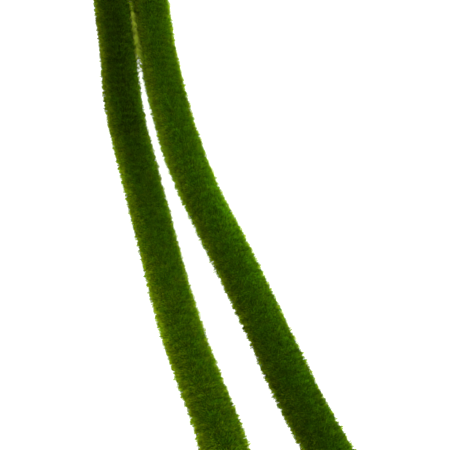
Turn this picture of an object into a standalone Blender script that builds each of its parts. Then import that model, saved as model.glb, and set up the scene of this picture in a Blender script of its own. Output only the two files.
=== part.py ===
"""Artificial moss garland: a dense green pile held in a core of twisted wire.

The garland lies doubled over on a flat surface, with its two free ends side by side.
Metres, +Z up. The origin is on that surface, in the middle of the lying garland.
"""

import math
import random

import bmesh
import bpy
import numpy as np

# Driving dimensions of the garland
PILE_RADIUS = 0.0125
PRESSED = 0.0010
TUFT_RELIEF = 0.0021
TUFT_PITCH = 0.0094
TUFTS_AROUND = 8
END_FACE_RADIUS = 0.0060
END_ROUNDING = 0.0080
WIRE_RADIUS = 0.0010
WIRE_CLEARANCE = 0.00036
WIRE_STUB = 0.0120
WIRE_LAY = 0.0110

# The middle of the lowest part of the pile is pressed flat on the surface
AXIS_HEIGHT = PILE_RADIUS - PRESSED

# Hand-chosen points of the garland's axis, seen from above: the left free end, the left leg,
# the loop at the far end, the right leg and the right free end. They make it 1.5 m long.
ROUTE = [
    (0.0220, -0.3386), (0.0340, -0.2956), (0.0396, -0.2511), (0.0366, -0.2071),
    (0.0273, -0.1658), (0.0173, -0.1368), (0.0061, -0.1066), (-0.0036, -0.0750),
    (-0.0123, -0.0420), (-0.0211, -0.0075), (-0.0305, 0.0287), (-0.0389, 0.0666),
    (-0.0437, 0.1064), (-0.0495, 0.1463), (-0.0578, 0.1832), (-0.0795, 0.2121),
    (-0.1049, 0.2389), (-0.1180, 0.2732), (-0.1096, 0.3089), (-0.0825, 0.3336),
    (-0.0468, 0.3389), (-0.0137, 0.3231), (0.0047, 0.2914), (0.0021, 0.2548),
    (-0.0144, 0.2217), (-0.0268, 0.1880), (-0.0243, 0.1501), (-0.0179, 0.1064),
    (-0.0094, 0.0666), (0.0006, 0.0287), (0.0140, -0.0075), (0.0295, -0.0420),
    (0.0438, -0.0750), (0.0571, -0.1066), (0.0697, -0.1368), (0.0844, -0.1658),
    (0.1036, -0.2056), (0.1152, -0.2491), (0.1180, -0.2946), (0.1130, -0.3396),
]
SPAN_SAMPLES = 60
TANGENT_REACH = 0.001

# How far the core's rings are apart inside the pile and on the bare ends
CORE_STEP = 0.0125
STUB_STEP = 0.0010
CORE_SIDES = 6

# The two wires side by side make an oval section
STUB_HALF_WIDTH = 0.00105
STUB_HALF_THICKNESS = 0.00062

# How much the tufts vary in height, along the garland and round it
TUFT_HEIGHT_PLAY = 0.0006
TUFT_PLACE_PLAY = 0.0009
TUFT_TURN_PLAY = math.radians(4.0)
TUFT_SEED = 23


def clear_scene():
    for item in list(bpy.data.objects):
        bpy.data.objects.remove(item, do_unlink=True)


def make_material(name, colour, roughness, metallic):
    material = bpy.data.materials.new(name)
    material.use_nodes = True
    shader = material.node_tree.nodes["Principled BSDF"]
    shader.inputs["Base Color"].default_value = (*colour, 1.0)
    shader.inputs["Roughness"].default_value = roughness
    shader.inputs["Metallic"].default_value = metallic
    material.diffuse_color = (*colour, 1.0)
    return material


def curve_through(points):
    """Closely spaced points on the natural cubic spline through the given points."""
    points = np.array(points)
    gaps = np.linalg.norm(np.diff(points, axis=0), axis=1)
    slopes = np.diff(points, axis=0) / gaps[:, None]
    matrix = np.eye(len(points))
    target = np.zeros_like(points)
    for i in range(1, len(points) - 1):
        matrix[i, i - 1:i + 2] = gaps[i - 1], 2.0 * (gaps[i - 1] + gaps[i]), gaps[i]
        target[i] = 6.0 * (slopes[i] - slopes[i - 1])
    bends = np.linalg.solve(matrix, target)
    after = np.linspace(0.0, 1.0, SPAN_SAMPLES, endpoint=False)[:, None]
    before = 1.0 - after
    spans = []
    for i, gap in enumerate(gaps):
        straight = before * points[i] + after * points[i + 1]
        bowed = (before ** 3 - before) * bends[i] + (after ** 3 - after) * bends[i + 1]
        spans.append(straight + gap ** 2 / 6.0 * bowed)
    return np.concatenate(spans + [points[-1:]])


class Axis:
    """The garland's axis, read by the distance from its left free end."""

    def __init__(self, points):
        self.points = curve_through(points)
        steps = np.linalg.norm(np.diff(self.points, axis=0), axis=1)
        self.distances = np.concatenate(([0.0], np.cumsum(steps)))
        self.length = float(self.distances[-1])

    def place(self, distance):
        """The point at that distance and the unit vector to its right, both in plan.

        Past either end the axis runs straight on.
        """
        inside = min(max(distance, 0.0), self.length)
        low = max(inside - TANGENT_REACH, 0.0)
        high = min(inside + TANGENT_REACH, self.length)
        here, back, ahead = (
            np.array([np.interp(at, self.distances, self.points[:, k]) for k in (0, 1)])
            for at in (inside, low, high)
        )
        along = (ahead - back) / np.linalg.norm(ahead - back)
        return here + along * (distance - inside), np.array([along[1], -along[0]])


def point_on_ring(axis, distance, across, above):
    """A point in the upright plane that crosses the axis at that distance."""
    middle, right = axis.place(distance)
    x, y = middle + right * across
    return x, y, AXIS_HEIGHT + above


def join_rings(mesh, rings, diagonal):
    """Faces between neighbouring rings, two triangles to each cell of four points."""
    for i in range(len(rings) - 1):
        first, second = rings[i], rings[i + 1]
        count = len(first)
        for j in range(count):
            a, b = first[j], first[(j + 1) % count]
            c, d = second[(j + 1) % count], second[j]
            if diagonal(i, j):
                mesh.faces.new((a, b, c))
                mesh.faces.new((a, c, d))
            else:
                mesh.faces.new((a, b, d))
                mesh.faces.new((b, c, d))


def close_end(mesh, rim, mouth):
    """Faces across an end of the pile, from its rim to the mouth of the wire's channel."""
    i = 0
    j = 0
    while i < len(rim) or j < len(mouth):
        outer, inner = rim[i % len(rim)], mouth[j % len(mouth)]
        if (i + 1) * len(mouth) <= (j + 1) * len(rim):
            i += 1
            mesh.faces.new((outer, rim[i % len(rim)], inner))
        else:
            j += 1
            mesh.faces.new((outer, mouth[j % len(mouth)], inner))


def finish_object(name, mesh, material, sharp_angle):
    bmesh.ops.triangulate(mesh, faces=[face for face in mesh.faces if len(face.verts) > 3])
    bmesh.ops.recalc_face_normals(mesh, faces=mesh.faces)
    data = bpy.data.meshes.new(name)
    mesh.to_mesh(data)
    mesh.free()
    data.shade_smooth()
    data.set_sharp_from_angle(angle=sharp_angle)
    data.materials.append(material)
    item = bpy.data.objects.new(name, data)
    bpy.context.scene.collection.objects.link(item)
    return item


def round_section(radius):
    """Across and above, for each corner of the core's section."""
    turns = [math.tau * k / CORE_SIDES - math.pi / 2.0 for k in range(CORE_SIDES)]
    return [(radius * math.cos(turn), radius * math.sin(turn)) for turn in turns]


def twisted_section(distance):
    """The oval section of the two bare wires, turned as far as their twist has gone."""
    twist = math.tau * distance / WIRE_LAY
    corners = []
    for k in range(CORE_SIDES):
        turn = math.tau * k / CORE_SIDES - math.pi / 2.0
        wide = STUB_HALF_WIDTH * math.cos(turn)
        thick = STUB_HALF_THICKNESS * math.sin(turn)
        across = wide * math.cos(twist) - thick * math.sin(twist)
        above = wide * math.sin(twist) + thick * math.cos(twist)
        corners.append((across, above))
    return corners


def core_stations(axis):
    """Distances of the rings that the wire and its channel share."""
    count = round(axis.length / CORE_STEP)
    return [axis.length * k / count for k in range(count + 1)]


def pile_radius(axis, distance):
    """The pile's outer radius, drawn in to a rounded end at both free ends."""
    to_end = min(distance, axis.length - distance)
    share = min(to_end / END_ROUNDING, 1.0)
    swell = math.sqrt(1.0 - (1.0 - share) ** 2)
    return END_FACE_RADIUS + (PILE_RADIUS - END_FACE_RADIUS) * swell


def pile_ring(axis, mesh, draw, index, distance):
    """One ring of the pile: every second point is the tip of a tuft, the rest lie between tufts."""
    outer = pile_radius(axis, distance)
    on_end = distance <= 0.0 or distance >= axis.length
    points_around = 2 * TUFTS_AROUND
    ring = []
    for j in range(points_around):
        turn = math.tau * j / points_around - math.pi / 2.0
        on_underside = j in (0, 1, points_around - 1)
        radius, at = outer, distance
        height_play = draw.random() * TUFT_HEIGHT_PLAY
        place_play = (draw.random() * 2.0 - 1.0) * TUFT_PLACE_PLAY
        turn_play = (draw.random() * 2.0 - 1.0) * TUFT_TURN_PLAY
        if not on_underside and not on_end:
            is_tip = (index + j) % 2 == 0
            radius -= height_play if is_tip else TUFT_RELIEF
            at += place_play
            turn += turn_play
        above = max(radius * math.sin(turn), -AXIS_HEIGHT)
        ring.append(mesh.verts.new(point_on_ring(axis, at, radius * math.cos(turn), above)))
    return ring


def make_moss_pile(axis, material):
    """The whole pile as one closed body, with raised tufts and a channel for the wire."""
    draw = random.Random(TUFT_SEED)
    mesh = bmesh.new()
    count = round(2.0 * axis.length / TUFT_PITCH)
    outside = [
        pile_ring(axis, mesh, draw, i, axis.length * i / count) for i in range(count + 1)
    ]
    join_rings(mesh, outside, lambda i, j: (i + j) % 2 == 1)
    corners = round_section(WIRE_RADIUS + WIRE_CLEARANCE)
    channel = []
    for distance in core_stations(axis):
        points = [point_on_ring(axis, distance, *corner) for corner in corners]
        channel.append([mesh.verts.new(point) for point in points])
    join_rings(mesh, channel, lambda i, j: False)
    close_end(mesh, outside[0], channel[0])
    close_end(mesh, outside[-1], channel[-1])
    return finish_object("moss_pile", mesh, material, math.radians(60.0))


def make_core_wire(axis, material):
    """The twisted wire: a plain strand inside the pile, and both bare ends with their twist."""
    mesh = bmesh.new()
    stub_rings = round(WIRE_STUB / STUB_STEP)
    before = [-STUB_STEP * k for k in range(stub_rings, 0, -1)]
    after = [axis.length + STUB_STEP * k for k in range(1, stub_rings + 1)]
    inside = core_stations(axis)
    rings = []
    for distance in before + inside + after:
        hidden = 0.0 <= distance <= axis.length
        corners = round_section(WIRE_RADIUS) if hidden else twisted_section(distance)
        points = [point_on_ring(axis, distance, *corner) for corner in corners]
        rings.append([mesh.verts.new(point) for point in points])
    join_rings(mesh, rings, lambda i, j: False)
    mesh.faces.new(rings[0])
    mesh.faces.new(rings[-1])
    return finish_object("core_wire", mesh, material, math.radians(40.0))


def main():
    clear_scene()
    axis = Axis(ROUTE)
    moss_green = make_material("moss_green", (0.045, 0.115, 0.004), 0.95, 0.0)
    green_lacquer = make_material("green_lacquer", (0.020, 0.075, 0.018), 0.35, 0.0)
    make_moss_pile(axis, moss_green)
    make_core_wire(axis, green_lacquer)


main()
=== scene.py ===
"""Looks of the moss garland: fine fibres over a dense bed, on two twisted wires."""

import math

import bpy
import numpy as np
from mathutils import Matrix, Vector


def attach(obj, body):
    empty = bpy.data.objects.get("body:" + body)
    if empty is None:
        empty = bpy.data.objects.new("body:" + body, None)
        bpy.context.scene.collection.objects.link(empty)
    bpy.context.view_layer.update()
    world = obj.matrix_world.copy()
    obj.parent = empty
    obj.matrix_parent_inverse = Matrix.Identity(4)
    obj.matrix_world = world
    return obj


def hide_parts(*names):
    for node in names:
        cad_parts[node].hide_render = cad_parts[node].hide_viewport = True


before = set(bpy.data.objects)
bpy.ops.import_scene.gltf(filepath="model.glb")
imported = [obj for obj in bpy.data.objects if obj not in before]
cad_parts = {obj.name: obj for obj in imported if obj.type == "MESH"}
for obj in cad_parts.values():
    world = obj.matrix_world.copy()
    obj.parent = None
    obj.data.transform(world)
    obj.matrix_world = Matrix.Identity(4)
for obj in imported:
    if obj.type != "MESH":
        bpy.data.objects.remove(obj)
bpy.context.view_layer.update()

# The garland's axis, as in the part: left free end, left leg, loop, right leg, right free end.
# The legs' points were measured in the photograph and laid on the surface, the loop's and the
# neck's were worked out by another script as one smooth bight, and the tails' were chosen by
# hand. Some were then moved.
ROUTE = [
    (0.0220, -0.3386), (0.0340, -0.2956), (0.0396, -0.2511), (0.0366, -0.2071),
    (0.0273, -0.1658), (0.0173, -0.1368), (0.0061, -0.1066), (-0.0036, -0.0750),
    (-0.0123, -0.0420), (-0.0211, -0.0075), (-0.0305, 0.0287), (-0.0389, 0.0666),
    (-0.0437, 0.1064), (-0.0495, 0.1463), (-0.0578, 0.1832), (-0.0795, 0.2121),
    (-0.1049, 0.2389), (-0.1180, 0.2732), (-0.1096, 0.3089), (-0.0825, 0.3336),
    (-0.0468, 0.3389), (-0.0137, 0.3231), (0.0047, 0.2914), (0.0021, 0.2548),
    (-0.0144, 0.2217), (-0.0268, 0.1880), (-0.0243, 0.1501), (-0.0179, 0.1064),
    (-0.0094, 0.0666), (0.0006, 0.0287), (0.0140, -0.0075), (0.0295, -0.0420),
    (0.0438, -0.0750), (0.0571, -0.1066), (0.0697, -0.1368), (0.0844, -0.1658),
    (0.1036, -0.2056), (0.1152, -0.2491), (0.1180, -0.2946), (0.1130, -0.3396),
]
SPAN_SAMPLES = 60
TANGENT_REACH = 0.001

# The pile, in metres
PILE_DIAMETER = 0.025
AXIS_HEIGHT = 0.0115
FIBRE_REACH = 0.01245
BED_RADIUS = 0.0100
BED_STEP = 0.004
FLOOR_GAP = 0.00025
FLOOR_PLAY = 0.0004

# Its rounded ends: how far the rounding reaches, and the radius of the flat part
END_ROUNDING = 0.0080
END_FACE_RADIUS = 0.0060
END_HOLE_RADIUS = 0.0012
END_ROOT_SHARE = 0.66
END_ROOT_DEPTH = 0.0036
END_BULGE = 0.0003
END_PLAY = 0.0003
END_SAMPLES = 24
END_BED_SHARE = 0.35

# Helical rows of the twisted core show as low ridges, and finer ones cross them as teeth
RIDGE_PITCH = 0.0055
RIDGE_HEIGHT = 0.00030
RIDGE_PULL = 0.25
RIDGE_STARTS = 2
TOOTH_PITCH = 0.0022
TOOTH_HEIGHT = 0.00040
TOOTH_PULL = 0.20
TOOTH_STARTS = 3
TOOTH_WANDER = 1.3
TOOTH_WANDER_RATE = 0.37

# Fibres gather in small clumps, and a few stand out past the rest
CLUMP_SIZE = 0.0014
CLUMP_MARGIN = 0.2
CLUMP_TINT = 0.8
CLUMP_PULL = 0.50
CLUMP_PLAY = 0.00080
TOP_CALM = 0.45
CALM_RISE = (0.25, 0.60)
FIBRE_PLAY = 0.00022
FIBRE_LEAN = 0.00030
FIBRE_WIDTH = 0.00022
FIBRE_ROOT_DEPTH = 0.0004
STRAY_SHARE = 0.10
STRAY_LENGTH = 0.0008
FIBRES_A_STRETCH = 44000
FIBRES_AN_END = 1700
STRETCHES = ("left_tail", "left_leg", "loop", "right_leg", "right_tail")
FIBRE_SEED = 40

# A direction that no fibre has exactly, from which one across each fibre is found
NOT_ALONG = (0.3, 0.2, 0.93)

# A fibre's shading turns this far from its own sides towards the way it points
SOFTNESS = 0.85
SOFT_RISE = (0.0, 0.5)

# By the share of the garland's length: how green it is, its painted light and shade, the
# painted light and shade on its flanks, how much longer the pile, and the painted light and
# shade on its right side. The numbers were typed to fit the legs' brightness and hue as
# measured in the photograph.
HABIT = (
    (0.000, 0.60, 1.10, 1.00, 0.0000, 0.00),
    (0.118, 0.56, 1.18, 0.77, 0.0009, 0.04),
    (0.138, 0.56, 1.12, 0.82, 0.0001, 0.05),
    (0.175, 0.62, 1.01, 1.06, -0.0001, 0.00),
    (0.200, 0.82, 0.85, 1.10, -0.0006, 0.00),
    (0.225, 0.86, 0.65, 1.30, -0.0006, 0.00),
    (0.262, 0.83, 0.27, 2.85, -0.0006, 0.00),
    (0.320, 0.78, 0.27, 2.55, -0.0004, -0.03),
    (0.380, 0.70, 0.60, 1.40, 0.0000, 0.00),
    (0.500, 0.70, 0.95, 1.00, 0.0000, 0.00),
    (0.670, 0.92, 0.73, 1.08, 0.0000, 0.02),
    (0.715, 0.92, 0.87, 1.00, -0.0002, -0.20),
    (0.735, 0.94, 0.90, 1.02, 0.0002, -0.18),
    (0.766, 0.95, 1.04, 0.93, -0.0003, 0.14),
    (0.780, 0.95, 1.05, 0.93, 0.0001, 0.16),
    (0.818, 1.02, 0.96, 0.84, -0.0003, 0.08),
    (0.850, 0.97, 0.86, 0.83, 0.0001, 0.06),
    (0.870, 0.95, 0.82, 0.85, 0.0001, 0.05),
    (1.000, 0.80, 0.95, 1.00, 0.0000, 0.00),
)

# Colours from a fibre's root to its tip, where the dye is green and where it is olive. They
# darken towards the root as painted shade deep in the pile.
GREEN_STOPS = (
    (0.00, (0.055, 0.178, 0.0006)),
    (0.50, (0.084, 0.262, 0.0010)),
    (0.85, (0.122, 0.345, 0.0030)),
    (1.00, (0.155, 0.395, 0.0060)),
)
OLIVE_STOPS = (
    (0.00, (0.078, 0.155, 0.0006)),
    (0.50, (0.128, 0.238, 0.0012)),
    (0.85, (0.200, 0.335, 0.0060)),
    (1.00, (0.320, 0.445, 0.0120)),
)

# The dye runs from 0, olive, to 1, green, and painted light tints it. It is greenest on the
# fibres that point up, and on the left side it is less green, a painted tint of the light from
# the left. On the flanks it turns olive, between these two rises of a fibre, a painted tint of
# the light coming through the rims, and underneath it turns back. The right side is a little
# greener than the left, a painted tint of the light from the right.
LEFT_PAINTED_TINT = 0.48
LEFT_TURN = (0.15, 0.75)
FLANK_RISE = (0.58, 0.20)
UNDERSIDE_RISE = (-0.9, -0.3)
SIDE_PAINTED_TINT = 0.20

# The rises between which the flanks get their own painted light and shade, and the rim along
# each side more painted light, a painted glow of the light coming through, most of all on the
# right
SIDE_RISE = (1.00, 0.55)
RIM_RISE = (0.50, 0.05)
RIM_PAINTED_LIGHT = 2.05
RIM_TURN = 0.6

# Beside another stretch the flank gets painted light, and a painted tint of the light bounced
# from it: greener if it faces right and more olive if it faces left. A stretch is another one
# from NEIGHBOUR_APART along the garland, and where there is none, the gap to it is given as
# NO_NEIGHBOUR.
NEIGHBOUR_GAP = (0.0320, 0.0125)
NEIGHBOUR_PAINTED_LIGHT = 1.3
NEIGHBOUR_PAINTED_TINT = 0.6
NEIGHBOUR_STEP = 5
NEIGHBOUR_APART = 0.08
NO_NEIGHBOUR = 1.0

# Where two stretches touch, the fibres that face each other bend up, and painted light makes
# them a cream seam of bright beads, a painted glow of the light coming through from below. Its
# painted light is stronger the further it is from the loop, and it thins out where the two axes
# part.
SEAM_APART = (0.0271, 0.0266)
SEAM_FACING = (0.955, 0.993)
SEAM_PAINTED_TINT = 0.55
SEAM_LIFT = (0.0042, 0.0070)
SEAM_REACH = 0.0008
PARTING_APART = (0.0255, 0.0264)
PARTING_THINNING = 0.42
SEAM_PAINTED_LIGHT = (1.30, 6.5)
SEAM_PALER_Y = (0.134, 0.122)
SEAM_TUFT_PLAY = 0.12
BEAD_PITCHES = (0.0024, 0.0037)
BEAD_PLAY = 0.32
BEAD_LIFT = 0.5

# The fibres with the most painted light turn to cream, a painted glow of the light coming
# through them, darker towards the root as painted shade, and none sends back more light than
# the limit
PAINTED_LIGHT_CAP = 4.0
CREAM = (0.84, 1.08, 0.08)
CREAM_ROOT_SHADE = 0.75
CREAM_GLOW_FROM = (1.4, 3.6)
CREAM_GLOW_SHARE = 0.95
MOST_LIGHT = (0.80, 0.93, 0.90)

# How much the patches, the mottles, the tufts and the dark flecks change the dye or the light
# sent back. Every noise, here and below, has a scale and a detail.
NOISE_SPAN = (0.3, 0.7)
PATCH_NOISE = (130.0, 4.0)
PATCH_DYE = 0.32
TUFT_DYE = 0.36
TUFT_PLAY = 0.22
MOTTLE_NOISE = (260.0, 2.0)
MOTTLE_PLAY = 0.24
FLECK_NOISE = (420.0, 1.0)
FLECK_SPAN = (0.62, 0.72)
FLECK_SHADE = 0.62

# Thin fibres let light through, the ones painted cream less, and it comes out yellower
SEE_THROUGH = (0.6, 0.05)
LESS_THROUGH_FROM = (2.6, 4.0)
THROUGH_TINT = (2.4, 1.8, 0.8)
SHEEN = 0.5
SHEEN_ROUGHNESS = 0.4
SHEEN_TINT = (1.0, 0.80, 0.02, 1.0)

# The bed under the fibres is as dark as their lower parts, painted shade deep in the pile, with a
# fine grain
BED_ROUNDNESS = 6
BED_HEIGHT = 0.25
BED_DYE = 0.5
BED_PALENESS = 1.0
BED_GRAIN = (900.0, 2.0)

# Each fibre's square on the bake map has this margin, as a share of its side
MAP_MARGIN = 0.08

# Two wires twisted round each other
WIRE_RADIUS = 0.00050
WIRE_LAY = 0.0110
WIRE_STUB = 0.0118
WIRE_TURN_POINTS = 10
WIRE_ROUNDNESS = 2
WIRE_SMOOTH_ANGLE = math.radians(50.0)

# Green lacquer on the wires, and bare steel on their cut ends
LACQUER_STOPS = ((0.35, (0.012, 0.050, 0.010)), (0.65, (0.028, 0.095, 0.020)))
LACQUER_GRAIN = (900.0, 3.0)
LACQUER_ROUGH_GRAIN = (1500.0, 2.0)
LACQUER_ROUGHNESS = (0.28, 0.48)
STEEL_STOPS = ((0.3, (0.30, 0.29, 0.28)), (0.7, (0.55, 0.54, 0.52)))
STEEL_GRAIN = (6000.0, 2.0)
STEEL_ROUGH_GRAIN = (4000.0, 2.0)
STEEL_ROUGHNESS = (0.30, 0.55)

# The camera looks down at the garland as in the photograph
CAMERA_PLACE = Vector((0.0272, -0.3571, 0.6368))
CAMERA_AIM = Vector((0.0272, -0.0246, AXIS_HEIGHT))
CAMERA_TAN_HALF_WIDTH = 0.19371
SENSOR_WIDTH = 36.0

# Light from the whole room and from the pale floor, and two soft lights: the name, place,
# aim, size and power of each
FLOOR_SIZE = 6.0
FLOOR_COLOUR = (0.80, 0.80, 0.80, 1.0)
FLOOR_LIGHT = 1.6
ROOM_LIGHT = 0.55
SOFT_LIGHTS = (
    ("right_light", (1.1, 0.55, 0.55), (0.05, 0.05, 0.0), 0.9, 7.0),
    ("left_light", (-0.9, 0.35, 0.55), (0.0, 0.0, 0.0), 0.8, 3.0),
)
WHITE = (1.0, 1.0, 1.0, 1.0)


def curve_through(points):
    """Closely spaced points on the natural cubic spline through the given points."""
    points = np.array(points)
    gaps = np.linalg.norm(np.diff(points, axis=0), axis=1)
    slopes = np.diff(points, axis=0) / gaps[:, None]
    matrix = np.eye(len(points))
    target = np.zeros_like(points)
    for i in range(1, len(points) - 1):
        matrix[i, i - 1:i + 2] = gaps[i - 1], 2.0 * (gaps[i - 1] + gaps[i]), gaps[i]
        target[i] = 6.0 * (slopes[i] - slopes[i - 1])
    bends = np.linalg.solve(matrix, target)
    after = np.linspace(0.0, 1.0, SPAN_SAMPLES, endpoint=False)[:, None]
    before = 1.0 - after
    spans = []
    for i, gap in enumerate(gaps):
        straight = before * points[i] + after * points[i + 1]
        bowed = (before ** 3 - before) * bends[i] + (after ** 3 - after) * bends[i + 1]
        spans.append(straight + gap ** 2 / 6.0 * bowed)
    return np.concatenate(spans + [points[-1:]])


LINE = curve_through(ROUTE)
LINE_DISTANCES = np.concatenate(([0.0], np.cumsum(np.linalg.norm(np.diff(LINE, axis=0), axis=1))))
LENGTH = float(LINE_DISTANCES[-1])


def axis_at(distances):
    """Points on the axis, with the unit vectors along it and to its right, at these distances.

    Past either end the axis runs straight on.
    """
    inside = np.clip(distances, 0.0, LENGTH)

    def read(at):
        at = np.clip(at, 0.0, LENGTH)
        return np.stack([np.interp(at, LINE_DISTANCES, LINE[:, k]) for k in (0, 1)], axis=-1)

    along = read(inside + TANGENT_REACH) - read(inside - TANGENT_REACH)
    along /= np.linalg.norm(along, axis=-1, keepdims=True)
    flat = read(inside) + along * (distances - inside)[..., None]
    place = np.concatenate([flat, np.full(flat.shape[:-1] + (1,), AXIS_HEIGHT)], axis=-1)
    level = np.zeros(flat.shape[:-1] + (1,))
    right = np.stack([along[..., 1], -along[..., 0]], axis=-1)
    return place, np.concatenate([along, level], axis=-1), np.concatenate([right, level], axis=-1)


def round_axis(distances, turns, reaches):
    """Points this far from the axis, turned round it from straight right towards up."""
    place, _, right = axis_at(distances)
    up = np.array([0.0, 0.0, 1.0])
    outward = right * np.cos(turns)[..., None] + up * np.sin(turns)[..., None]
    return place + outward * np.asarray(reaches)[..., None]


def habit_at(distances):
    """The columns of HABIT at these distances."""
    shares, *columns = np.array(HABIT).T
    return [np.interp(distances / LENGTH, shares, column) for column in columns]


def fade(values, low, high):
    share = np.clip((values - low) / (high - low), 0.0, 1.0)
    return share * share * (3.0 - 2.0 * share)


def gap_beside(points, distances):
    """How far each point is, in plan, from the axis of another stretch of the garland."""
    other = LINE[::NEIGHBOUR_STEP]
    other_at = LINE_DISTANCES[::NEIGHBOUR_STEP]
    away = np.hypot(points[:, None, 0] - other[None, :, 0], points[:, None, 1] - other[None, :, 1])
    away[np.abs(distances[:, None] - other_at[None]) < NEIGHBOUR_APART] = NO_NEIGHBOUR
    return away.min(axis=1)


def deselect():
    for item in bpy.context.selected_objects:
        item.select_set(False)


def soft_light(name, place, aim, size, power):
    data = bpy.data.lights.new(name, "AREA")
    data.shape = "DISK"
    data.size = size
    data.energy = power
    item = bpy.data.objects.new(name, data)
    item.location = place
    item.rotation_euler = (Vector(aim) - Vector(place)).to_track_quat("-Z", "Y").to_euler()
    bpy.context.scene.collection.objects.link(item)


def make_stage():
    """Camera, pale floor and soft light, as plain as in the photograph."""
    scene = bpy.context.scene
    camera = bpy.data.objects.new("camera", bpy.data.cameras.new("camera"))
    scene.collection.objects.link(camera)
    camera.data.sensor_width = SENSOR_WIDTH
    camera.data.lens = SENSOR_WIDTH / 2.0 / CAMERA_TAN_HALF_WIDTH
    camera.location = CAMERA_PLACE
    camera.rotation_euler = (CAMERA_AIM - CAMERA_PLACE).to_track_quat("-Z", "Y").to_euler()
    scene.camera = camera
    scene.view_settings.view_transform = "Standard"

    deselect()
    bpy.ops.mesh.primitive_plane_add(size=FLOOR_SIZE)
    floor = bpy.context.object
    floor.name = "pale_floor"
    paint = bpy.data.materials.new("pale_floor")
    paint.use_nodes = True
    shader = paint.node_tree.nodes["Principled BSDF"]
    shader.inputs["Base Color"].default_value = FLOOR_COLOUR
    shader.inputs["Roughness"].default_value = 1.0
    shader.inputs["Specular IOR Level"].default_value = 0.0
    shader.inputs["Emission Color"].default_value = WHITE
    path = paint.node_tree.nodes.new("ShaderNodeLightPath")
    glow = spread(paint.node_tree, path.outputs["Is Camera Ray"], 0.0, 1.0, FLOOR_LIGHT, 1.0)
    paint.node_tree.links.new(glow, shader.inputs["Emission Strength"])
    floor.data.materials.append(paint)

    world = bpy.data.worlds.new("soft_room")
    scene.world = world
    world.use_nodes = True
    tree = world.node_tree
    seen = tree.nodes["Background"]
    seen.inputs["Color"].default_value = WHITE
    seen.inputs["Strength"].default_value = 1.0
    lit = tree.nodes.new("ShaderNodeBackground")
    lit.inputs["Color"].default_value = WHITE
    lit.inputs["Strength"].default_value = ROOM_LIGHT
    path = tree.nodes.new("ShaderNodeLightPath")
    mix = tree.nodes.new("ShaderNodeMixShader")
    tree.links.new(path.outputs["Is Camera Ray"], mix.inputs["Fac"])
    tree.links.new(lit.outputs["Background"], mix.inputs[1])
    tree.links.new(seen.outputs["Background"], mix.inputs[2])
    tree.links.new(mix.outputs["Shader"], tree.nodes["World Output"].inputs["Surface"])

    for light in SOFT_LIGHTS:
        soft_light(*light)


def one_fibre():
    """A slim splinter, one unit long, with a chisel edge at the root and one across it at
    the tip: its points and its faces."""
    deselect()
    midway = 0.5
    bpy.ops.mesh.primitive_cone_add(
        vertices=3, radius1=1.0, radius2=0.0, depth=1.0, location=(0.0, 0.0, midway)
    )
    splinter = bpy.context.object
    bpy.ops.object.transform_apply(location=True, rotation=True, scale=True)
    mesh = splinter.data
    base = [vertex for vertex in mesh.vertices if vertex.co.z < midway]
    apex = [vertex for vertex in mesh.vertices if vertex.co.z > midway]
    base[0].co = (-1.0, 0.0, 0.0)
    base[1].co = (1.0, 0.0, 0.0)
    base[2].co = (0.0, -1.0, 1.0)
    apex[0].co = (0.0, 1.0, 1.0)
    bpy.ops.object.mode_set(mode="EDIT")
    bpy.ops.mesh.select_all(action="SELECT")
    bpy.ops.mesh.normals_make_consistent(inside=False)
    bpy.ops.object.mode_set(mode="OBJECT")
    mesh.calc_loop_triangles()
    points = np.array([vertex.co[:] for vertex in mesh.vertices])
    faces = np.array([face.vertices[:] for face in mesh.loop_triangles])
    bpy.data.objects.remove(splinter, do_unlink=True)
    bpy.data.meshes.remove(mesh)
    return points, faces


def build_mesh(name, points, faces):
    mesh = bpy.data.meshes.new(name)
    mesh.vertices.add(len(points))
    mesh.vertices.foreach_set("co", points.astype(np.float32).ravel())
    mesh.loops.add(faces.size)
    mesh.loops.foreach_set("vertex_index", faces.astype(np.int32).ravel())
    mesh.polygons.add(len(faces))
    mesh.polygons.foreach_set("loop_start", np.arange(len(faces), dtype=np.int32) * 3)
    mesh.update(calc_edges=True)
    item = bpy.data.objects.new(name, mesh)
    bpy.context.scene.collection.objects.link(item)
    return item


def give_bake_map(mesh, count, shape):
    """A bake map: a small square for each fibre, with its root at the bottom."""
    columns = math.ceil(math.sqrt(count))
    row, column = np.divmod(np.arange(count), columns)
    sides = shape[None, :, 0] + shape[None, :, 1]
    across = column[:, None] + 0.5 + (0.5 - MAP_MARGIN) * sides
    along = row[:, None] + MAP_MARGIN + (1.0 - 2.0 * MAP_MARGIN) * shape[None, :, 2]
    places = np.stack([across, along], axis=-1).reshape(-1, 2) / columns
    corners = np.empty(len(mesh.loops), np.int32)
    mesh.loops.foreach_get("vertex_index", corners)
    layer = mesh.uv_layers.new(name="OFBake")
    layer.uv.foreach_set("vector", places[corners].astype(np.float32).ravel())


def clump_of(distances, turns, draw):
    """For each fibre, how far its clump's middle lies along and round, and two numbers for it."""
    first = distances.min()
    rows = math.ceil((distances.max() - first) / CLUMP_SIZE) + 2
    columns = round(math.pi * PILE_DIAMETER / CLUMP_SIZE)
    row = np.floor((distances - first) / CLUMP_SIZE).astype(int)
    offset = 0.5 * (row % 2)
    spot = turns / math.tau * columns + offset
    column = np.floor(spot).astype(int)
    shake = draw.random((rows + 1, columns, 4))
    found = shake[row, column % columns]
    within = CLUMP_MARGIN + (1.0 - 2.0 * CLUMP_MARGIN) * found
    middle_along = first + (row + within[:, 0]) * CLUMP_SIZE
    middle_turn = (column + within[:, 1] - offset) / columns * math.tau
    return middle_along - distances, middle_turn - turns, found[:, 2], found[:, 3]


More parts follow.
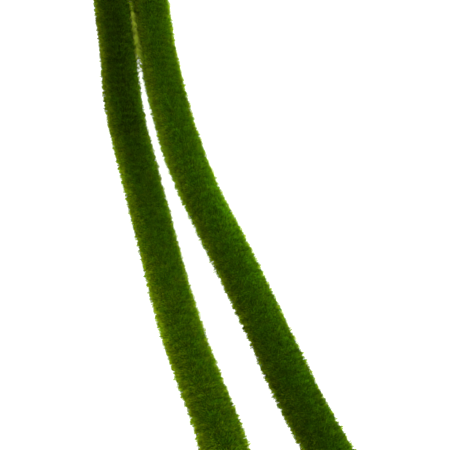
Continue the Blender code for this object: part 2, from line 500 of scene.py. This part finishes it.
def radial_fibres(start, end, draw):
    """Roots and tips of the fibres on one stretch, with each fibre's distance and tint."""
    cell = math.sqrt(math.pi * PILE_DIAMETER * (end - start) / FIBRES_A_STRETCH)
    around = round(math.pi * PILE_DIAMETER / cell)
    rows = FIBRES_A_STRETCH // around
    row, column = np.divmod(np.arange(rows * around), around)
    distances = start + (row + draw.random(len(row))) / rows * (end - start)
    turns = (column + draw.random(len(row))) / around * math.tau
    to_clump, turn_to_clump, clump_height, clump_tint = clump_of(distances, turns, draw)

    phase = math.tau * distances / RIDGE_PITCH - RIDGE_STARTS * turns
    reach = FIBRE_REACH + habit_at(distances)[3] + RIDGE_HEIGHT * np.cos(phase)
    rough = 1.0 - TOP_CALM * fade(np.sin(turns), *CALM_RISE)
    reach += CLUMP_PLAY * (2.0 * clump_height - 1.0) * rough
    reach += FIBRE_PLAY * draw.standard_normal(len(row)) * rough
    strays = draw.random(len(row)) < STRAY_SHARE * rough
    reach += STRAY_LENGTH * draw.random(len(row)) * strays
    tooth = math.tau * distances / TOOTH_PITCH + TOOTH_STARTS * turns
    tooth += TOOTH_WANDER * np.sin(TOOTH_WANDER_RATE * phase)
    reach += TOOTH_HEIGHT * np.cos(tooth)
    pull = CLUMP_PULL * rough
    lean_along = to_clump * pull + FIBRE_LEAN * draw.standard_normal(len(row))
    lean_along -= RIDGE_PULL * RIDGE_PITCH / math.tau * np.sin(phase)
    lean_along -= TOOTH_PULL * TOOTH_PITCH / math.tau * np.sin(tooth)
    lean_turn = turn_to_clump * pull
    lean_turn += FIBRE_LEAN / FIBRE_REACH * draw.standard_normal(len(row))

    root = round_axis(distances, turns, np.full(len(row), BED_RADIUS - FIBRE_ROOT_DEPTH))
    tip = round_axis(distances + lean_along, turns + lean_turn, reach)
    tint = CLUMP_TINT * clump_tint + (1.0 - CLUMP_TINT) * draw.random(len(row))
    return root, tip, distances, tint


def end_fibres(at_start, draw):
    """The same for the fibres that fan out over one rounded end."""
    swing = np.linspace(0.0, math.pi / 2.0, END_SAMPLES)
    shoulder_radius = END_FACE_RADIUS + (FIBRE_REACH - END_FACE_RADIUS) * np.sin(swing)
    shoulder_depth = END_ROUNDING * (1.0 - np.cos(swing))
    radius = np.concatenate([[END_HOLE_RADIUS], shoulder_radius])
    depth = np.concatenate([[-END_BULGE], shoulder_depth])
    area = 0.5 * (radius[1:] + radius[:-1]) * np.hypot(np.diff(radius), np.diff(depth))
    gone = np.concatenate([[0.0], np.cumsum(area)]) / area.sum()
    count = FIBRES_AN_END
    pick = (np.arange(count) + draw.random(count)) / count
    turns = draw.random(count) * math.tau
    tip_radius = np.interp(pick, gone, radius)
    tip_depth = np.interp(pick, gone, depth)
    root_radius = END_ROOT_SHARE * tip_radius
    root_depth = END_ROOT_DEPTH + tip_depth * (1.0 - END_ROOT_DEPTH / END_ROUNDING)
    tip_radius = tip_radius + END_PLAY * draw.standard_normal(count)
    tip_depth = tip_depth + END_PLAY * draw.standard_normal(count)
    tip_turns = turns + FIBRE_LEAN / FIBRE_REACH * draw.standard_normal(count)
    if not at_start:
        tip_depth = LENGTH - tip_depth
        root_depth = LENGTH - root_depth
    root = round_axis(root_depth, turns, root_radius)
    tip = round_axis(tip_depth, tip_turns, tip_radius)
    return root, tip, root_depth, draw.random(count)


def fibres_of(start, end, draw):
    """All the fibres on one stretch: their roots, tips, distances and tints."""
    groups = [radial_fibres(max(start, END_ROUNDING), min(end, LENGTH - END_ROUNDING), draw)]
    if start <= 0.0:
        groups.append(end_fibres(True, draw))
    if end >= LENGTH:
        groups.append(end_fibres(False, draw))
    root, tip, distances, tint = (np.concatenate(column) for column in zip(*groups))
    tip[:, 2] = np.maximum(tip[:, 2], FLOOR_GAP + FLOOR_PLAY * draw.random(len(tip)))
    return root, tip, distances, tint


def aim_of(root, tip):
    """The unit vector along each fibre, and its length."""
    along = tip - root
    length = np.linalg.norm(along, axis=1, keepdims=True)
    return along / length, length


def seam_of(distances, gap):
    """How far each fibre belongs to the seam, and to the part of it where the stretches part."""
    apart = gap_beside(axis_at(distances)[0], distances)
    seam = fade((apart - gap) / FIBRE_REACH, *SEAM_FACING) * fade(apart, *SEAM_APART)
    return seam, seam * fade(apart, *PARTING_APART)


def bead_at(points):
    """1 on the seam's brightest beads, down to -1 between them."""
    waves = [np.cos(math.tau * points[:, 1] / pitch) for pitch in BEAD_PITCHES]
    return sum(waves) / len(waves)


def look_of(along, tip, distances, tint, gap, seam):
    """Each fibre's dye, painted tint, and painted light and shade, by how it points and what lies
    beside it.
    """
    greenness, painted_light, flank_painted_light, _, right_painted_light = habit_at(distances)
    above = fade(along[:, 2], *UNDERSIDE_RISE)
    flank = fade(along[:, 2], *FLANK_RISE) * above
    rim = fade(along[:, 2], *RIM_RISE) * above
    sideways = fade(along[:, 2], *SIDE_RISE)
    leftward = fade(-along[:, 0], *LEFT_TURN)
    touching = fade(gap, *NEIGHBOUR_GAP) * sideways

    # The dye gets painted tints of light: less green on the left and on the flanks, and its own
    # tint beside other stretches, on the right side and on the seam
    dye_and_painted_tint = greenness * (1.0 - (1.0 - LEFT_PAINTED_TINT) * leftward) * (1.0 - flank)
    dye_and_painted_tint += (NEIGHBOUR_PAINTED_TINT * touching + SIDE_PAINTED_TINT * sideways) * along[:, 0] - SEAM_PAINTED_TINT * seam
    # Painted light and shade: on the flanks, on the right side, beside other stretches, on the rims
    # and on the seam
    painted_light *= 1.0 + (flank_painted_light - 1.0) * sideways
    painted_light *= 1.0 + right_painted_light * along[:, 0]
    painted_light *= 1.0 + (NEIGHBOUR_PAINTED_LIGHT - 1.0) * touching
    painted_light *= 1.0 + (RIM_PAINTED_LIGHT - 1.0 + RIM_TURN * along[:, 0]) * rim
    least, most = SEAM_PAINTED_LIGHT
    seam_painted_light = least + (most - least) * fade(tip[:, 1], *SEAM_PALER_Y)
    painted_light *= 1.0 + (seam_painted_light - 1.0) * seam
    play = SEAM_TUFT_PLAY * tint + BEAD_PLAY * (1.0 - bead_at(tip))
    painted_light = np.minimum(painted_light, PAINTED_LIGHT_CAP) * (1.0 - play * seam)
    return np.clip(dye_and_painted_tint, 0.0, 1.0), painted_light


def fibre_mesh(name, root, tip, splinter, draw):
    """One mesh of a splinter from each root to its tip, turned at random about itself."""
    along, length = aim_of(root, tip)
    count = len(root)
    spin = draw.random(count)[:, None] * math.tau
    side = np.cross(along, NOT_ALONG)
    side /= np.linalg.norm(side, axis=1, keepdims=True)
    first = side * np.cos(spin) + np.cross(along, side) * np.sin(spin)
    second = np.cross(along, first)

    shape, faces = splinter
    aside = shape[None, :, 0:1] * first[:, None, :] + shape[None, :, 1:2] * second[:, None, :]
    forth = shape[None, :, 2:3] * (along * length)[:, None, :]
    points = root[:, None, :] + FIBRE_WIDTH * aside + forth
    all_faces = faces[None] + (np.arange(count) * len(shape))[:, None, None]
    item = build_mesh(name, points.reshape(-1, 3), all_faces.reshape(-1, 3))
    softness = (SOFTNESS * fade(along[:, 2], *SOFT_RISE))[:, None, None]
    soft = softness * along[:, None, :] + (1.0 - softness) * aside
    soft /= np.linalg.norm(soft, axis=-1, keepdims=True)
    item.data.normals_split_custom_set_from_vertices(soft.reshape(-1, 3))
    return item


def make_fibres(name, start, end, seed, splinter):
    """The fibres of one stretch, each marked with its height, tint, dye with painted tint, and
    painted light.
    """
    draw = np.random.default_rng(seed)
    root, tip, distances, tint = fibres_of(start, end, draw)
    gap = gap_beside(tip, distances)
    seam, parting = seam_of(distances, gap)
    kept = draw.random(len(root)) > PARTING_THINNING * parting
    root, tip, distances, tint, gap, seam = (
        column[kept] for column in (root, tip, distances, tint, gap, seam)
    )
    along, _ = aim_of(root, tip)
    tip += along * (SEAM_REACH * seam)[:, None]
    lift = draw.uniform(*SEAM_LIFT, len(root)) * (1.0 + BEAD_LIFT * bead_at(tip))
    tip[:, 2] += seam * lift
    dye_and_painted_tint, painted_light = look_of(along, tip, distances, tint, gap, seam)

    item = fibre_mesh(name, root, tip, splinter, draw)
    shape = splinter[0]
    mark = np.ones((len(root), len(shape), 4), np.float32)
    mark[:, :, 0] = shape[None, :, 2]
    mark[:, :, 1] = tint[:, None]
    mark[:, :, 2] = dye_and_painted_tint[:, None]
    mark[:, :, 3] = (painted_light / PAINTED_LIGHT_CAP)[:, None]
    layer = item.data.color_attributes.new("fibre", "FLOAT_COLOR", "POINT")
    layer.data.foreach_set("color", mark.ravel())
    give_bake_map(item.data, len(root), shape)
    return item


def noise(tree, scale, detail):
    place = tree.nodes.new("ShaderNodeTexCoord")
    node = tree.nodes.new("ShaderNodeTexNoise")
    node.inputs["Scale"].default_value = scale
    node.inputs["Detail"].default_value = detail
    tree.links.new(place.outputs["Object"], node.inputs["Vector"])
    return node.outputs["Fac"]


def spread(tree, socket, low, high, to_low, to_high):
    """Takes values between low and high to between to_low and to_high."""
    node = tree.nodes.new("ShaderNodeMapRange")
    node.inputs["From Min"].default_value = low
    node.inputs["From Max"].default_value = high
    node.inputs["To Min"].default_value = to_low
    node.inputs["To Max"].default_value = to_high
    tree.links.new(socket, node.inputs["Value"])
    return node.outputs["Result"]


def maths(tree, operation, first, second):
    node = tree.nodes.new("ShaderNodeMath")
    node.operation = operation
    for k, value in enumerate((first, second)):
        if isinstance(value, float):
            node.inputs[k].default_value = value
        else:
            tree.links.new(value, node.inputs[k])
    return node.outputs["Value"]


def scaled(tree, colour, factor):
    node = tree.nodes.new("ShaderNodeVectorMath")
    node.operation = "SCALE"
    if isinstance(colour, tuple):
        node.inputs["Vector"].default_value = colour
    else:
        tree.links.new(colour, node.inputs["Vector"])
    tree.links.new(factor, node.inputs["Scale"])
    return node.outputs["Vector"]


def limited(tree, colour):
    """No colour sends back more than this share of the light."""
    node = tree.nodes.new("ShaderNodeVectorMath")
    node.operation = "MINIMUM"
    node.inputs[1].default_value = MOST_LIGHT
    tree.links.new(colour, node.inputs[0])
    return node.outputs["Vector"]


def ramp_of(tree, socket, stops):
    ramp = tree.nodes.new("ShaderNodeValToRGB")
    ends = ramp.color_ramp.elements
    for element, (position, colour) in zip(ends, (stops[0], stops[-1])):
        element.position = position
        element.color = (*colour, 1.0)
    for position, colour in stops[1:-1]:
        ends.new(position).color = (*colour, 1.0)
    tree.links.new(socket, ramp.inputs["Fac"])
    return ramp.outputs["Color"]


def moss_shade_group():
    """Colour of the pile: seen in the light that it sends back, and in what comes through."""
    tree = bpy.data.node_groups.new("MossShade", "ShaderNodeTree")
    for name in ("Height", "Tuft", "DyeAndPaintedTint", "PaintedLight"):
        tree.interface.new_socket(name, in_out="INPUT", socket_type="NodeSocketFloat")
    for name in ("Colour", "Through"):
        tree.interface.new_socket(name, in_out="OUTPUT", socket_type="NodeSocketColor")
    source = tree.nodes.new("NodeGroupInput")
    result = tree.nodes.new("NodeGroupOutput")

    # Slow patches and single tufts shift the dye between olive and green
    patches = spread(tree, noise(tree, *PATCH_NOISE), *NOISE_SPAN, -PATCH_DYE, PATCH_DYE)
    single = spread(tree, source.outputs["Tuft"], 0.0, 1.0, TUFT_DYE, -TUFT_DYE)
    dye_and_painted_tint = maths(tree, "ADD", source.outputs["DyeAndPaintedTint"], patches)
    dye_and_painted_tint = maths(tree, "ADD", dye_and_painted_tint, single)
    mix = tree.nodes.new("ShaderNodeMix")
    mix.data_type = "RGBA"
    tree.links.new(dye_and_painted_tint, mix.inputs["Factor"])
    tree.links.new(ramp_of(tree, source.outputs["Height"], OLIVE_STOPS), mix.inputs["A"])
    tree.links.new(ramp_of(tree, source.outputs["Height"], GREEN_STOPS), mix.inputs["B"])

    # Tufts and mottles of a few millimetres differ, and small flecks are dark
    tufts = spread(tree, source.outputs["Tuft"], 0.0, 1.0, 1.0 - TUFT_PLAY, 1.0 + TUFT_PLAY)
    mottles = noise(tree, *MOTTLE_NOISE)
    mottles = spread(tree, mottles, *NOISE_SPAN, 1.0 - MOTTLE_PLAY, 1.0 + MOTTLE_PLAY)
    flecks = spread(tree, noise(tree, *FLECK_NOISE), *FLECK_SPAN, 1.0, FLECK_SHADE)
    shade = maths(tree, "MULTIPLY", maths(tree, "MULTIPLY", tufts, mottles), flecks)
    # Each fibre's painted light and shade scales its colour as well
    shade = maths(tree, "MULTIPLY", shade, source.outputs["PaintedLight"])

    # The fibres with the most painted light turn towards cream, a painted glow of the light
    # coming through them, with painted shade towards the root
    cream = spread(tree, source.outputs["Height"], 0.0, 1.0, CREAM_ROOT_SHADE, 1.0)
    cream = scaled(tree, CREAM, maths(tree, "MULTIPLY", cream, tufts))
    cream_glow = tree.nodes.new("ShaderNodeMix")
    cream_glow.data_type = "RGBA"
    share = spread(tree, source.outputs["PaintedLight"], *CREAM_GLOW_FROM, 0.0, CREAM_GLOW_SHARE)
    tree.links.new(share, cream_glow.inputs["Factor"])
    tree.links.new(limited(tree, scaled(tree, mix.outputs["Result"], shade)), cream_glow.inputs["A"])
    tree.links.new(cream, cream_glow.inputs["B"])
    colour = limited(tree, cream_glow.outputs["Result"])
    tint = tree.nodes.new("ShaderNodeVectorMath")
    tint.operation = "MULTIPLY"
    tint.inputs[1].default_value = THROUGH_TINT
    tree.links.new(colour, tint.inputs[0])
    tree.links.new(colour, result.inputs["Colour"])
    tree.links.new(limited(tree, tint.outputs["Vector"]), result.inputs["Through"])
    return tree


def moss_material(group):
    material = bpy.data.materials.new("moss_fibre")
    material.use_nodes = True
    tree = material.node_tree
    shader = tree.nodes["Principled BSDF"]
    shader.inputs["Roughness"].default_value = 1.0
    shader.inputs["Specular IOR Level"].default_value = 0.0
    shader.inputs["Sheen Weight"].default_value = SHEEN
    shader.inputs["Sheen Roughness"].default_value = SHEEN_ROUGHNESS
    shader.inputs["Sheen Tint"].default_value = SHEEN_TINT
    read = tree.nodes.new("ShaderNodeAttribute")
    read.attribute_name = "fibre"
    split = tree.nodes.new("ShaderNodeSeparateColor")
    tree.links.new(read.outputs["Color"], split.inputs["Color"])
    shade = tree.nodes.new("ShaderNodeGroup")
    shade.node_tree = group
    tree.links.new(split.outputs["Red"], shade.inputs["Height"])
    tree.links.new(split.outputs["Green"], shade.inputs["Tuft"])
    tree.links.new(split.outputs["Blue"], shade.inputs["DyeAndPaintedTint"])
    # The mark's alpha holds each fibre's painted light and shade
    painted_level = maths(tree, "MULTIPLY", read.outputs["Alpha"], PAINTED_LIGHT_CAP)
    tree.links.new(painted_level, shade.inputs["PaintedLight"])
    tree.links.new(shade.outputs["Colour"], shader.inputs["Base Color"])
    clear = tree.nodes.new("ShaderNodeBsdfTranslucent")
    tree.links.new(shade.outputs["Through"], clear.inputs["Color"])
    shape = tree.nodes.new("ShaderNodeNewGeometry")
    tree.links.new(shape.outputs["True Normal"], clear.inputs["Normal"])
    mix = tree.nodes.new("ShaderNodeMixShader")
    tree.links.new(spread(tree, painted_level, *LESS_THROUGH_FROM, *SEE_THROUGH), mix.inputs["Fac"])
    tree.links.new(shader.outputs["BSDF"], mix.inputs[1])
    tree.links.new(clear.outputs["BSDF"], mix.inputs[2])
    tree.links.new(mix.outputs["Shader"], tree.nodes["Material Output"].inputs["Surface"])
    return material


def bed_material(group):
    material = bpy.data.materials.new("pile_bed")
    material.use_nodes = True
    tree = material.node_tree
    shader = tree.nodes["Principled BSDF"]
    shader.inputs["Roughness"].default_value = 1.0
    shader.inputs["Specular IOR Level"].default_value = 0.0
    shade = tree.nodes.new("ShaderNodeGroup")
    shade.node_tree = group
    shade.inputs["Height"].default_value = BED_HEIGHT
    shade.inputs["DyeAndPaintedTint"].default_value = BED_DYE
    shade.inputs["PaintedLight"].default_value = BED_PALENESS
    tree.links.new(noise(tree, *BED_GRAIN), shade.inputs["Tuft"])
    tree.links.new(shade.outputs["Colour"], shader.inputs["Base Color"])
    return material


def round_curve(name, place, radius, roundness):
    """A round rod through these points, straight from one to the next."""
    curve = bpy.data.curves.new(name, "CURVE")
    curve.dimensions = "3D"
    curve.bevel_depth = radius
    curve.bevel_resolution = roundness
    curve.use_fill_caps = True
    spline = curve.splines.new("POLY")
    spline.points.add(len(place) - 1)
    corners = np.concatenate([place, np.ones((len(place), 1))], axis=1)
    spline.points.foreach_set("co", corners.ravel())
    item = bpy.data.objects.new(name, curve)
    bpy.context.scene.collection.objects.link(item)
    return item


def make_bed():
    """The dense lower part of the pile, drawn in at both ends, with the fibres' roots in it."""
    deselect()
    count = round(LENGTH / BED_STEP)
    distances = np.linspace(END_ROOT_DEPTH, LENGTH - END_ROOT_DEPTH, count + 1)
    place, _, _ = axis_at(distances)
    to_end = np.minimum(distances, LENGTH - distances) - END_ROOT_DEPTH
    share = np.clip(to_end / (END_ROUNDING - END_ROOT_DEPTH), 0.0, 1.0)
    swell = np.sqrt(1.0 - (1.0 - share) ** 2)
    shares = END_BED_SHARE + (1.0 - END_BED_SHARE) * swell
    item = round_curve("pile_bed", place, BED_RADIUS, BED_ROUNDNESS)
    item.data.splines[0].points.foreach_set("radius", shares)
    return item


def lacquer_material():
    material = bpy.data.materials.new("green_lacquer")
    material.use_nodes = True
    tree = material.node_tree
    shader = tree.nodes["Principled BSDF"]
    blotches = noise(tree, *LACQUER_GRAIN)
    tree.links.new(ramp_of(tree, blotches, LACQUER_STOPS), shader.inputs["Base Color"])
    rough = spread(tree, noise(tree, *LACQUER_ROUGH_GRAIN), *NOISE_SPAN, *LACQUER_ROUGHNESS)
    tree.links.new(rough, shader.inputs["Roughness"])
    return material


def cut_steel_material():
    material = bpy.data.materials.new("cut_steel")
    material.use_nodes = True
    tree = material.node_tree
    shader = tree.nodes["Principled BSDF"]
    shader.inputs["Metallic"].default_value = 1.0
    grain = noise(tree, *STEEL_GRAIN)
    tree.links.new(ramp_of(tree, grain, STEEL_STOPS), shader.inputs["Base Color"])
    rough = spread(tree, noise(tree, *STEEL_ROUGH_GRAIN), *NOISE_SPAN, *STEEL_ROUGHNESS)
    tree.links.new(rough, shader.inputs["Roughness"])
    return material


def make_wire(name, offset, lacquer, steel):
    """One of the two wires of the core, twisted round the axis, with bare steel at its cut ends."""
    deselect()
    count = round((LENGTH + 2.0 * WIRE_STUB) / WIRE_LAY * WIRE_TURN_POINTS)
    distances = np.linspace(-WIRE_STUB, LENGTH + WIRE_STUB, count + 1)
    turns = math.tau * distances / WIRE_LAY + offset
    place = round_axis(distances, turns, np.full(count + 1, WIRE_RADIUS))
    item = round_curve(name, place, WIRE_RADIUS, WIRE_ROUNDNESS)
    bpy.context.view_layer.objects.active = item
    item.select_set(True)
    bpy.ops.object.convert(target="MESH")
    item = bpy.context.object
    bpy.ops.object.shade_smooth_by_angle(angle=WIRE_SMOOTH_ANGLE)
    item.data.materials.clear()
    item.data.materials.append(lacquer)
    item.data.materials.append(steel)

    # The cut ends are the only faces with more than four corners
    for face in item.data.polygons:
        face.material_index = 1 if face.loop_total > 4 else 0
    return item


def place_piece(item, node):
    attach(item, "root")
    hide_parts(node)


def main():
    make_stage()
    group = moss_shade_group()
    bed = make_bed()
    bed.data.materials.append(bed_material(group))
    place_piece(bed, "moss_pile")

    splinter = one_fibre()
    material = moss_material(group)
    for k, name in enumerate(STRETCHES):
        start = LENGTH * k / len(STRETCHES)
        end = LENGTH * (k + 1) / len(STRETCHES)
        item = make_fibres("moss_fibres_" + name, start, end, FIBRE_SEED + k, splinter)
        item.data.materials.append(material)
        place_piece(item, "moss_pile")

    lacquer = lacquer_material()
    steel = cut_steel_material()
    for name, offset in (("core_wire_first", 0.0), ("core_wire_second", math.pi)):
        item = make_wire(name, offset, lacquer, steel)
        place_piece(item, "core_wire")


main()
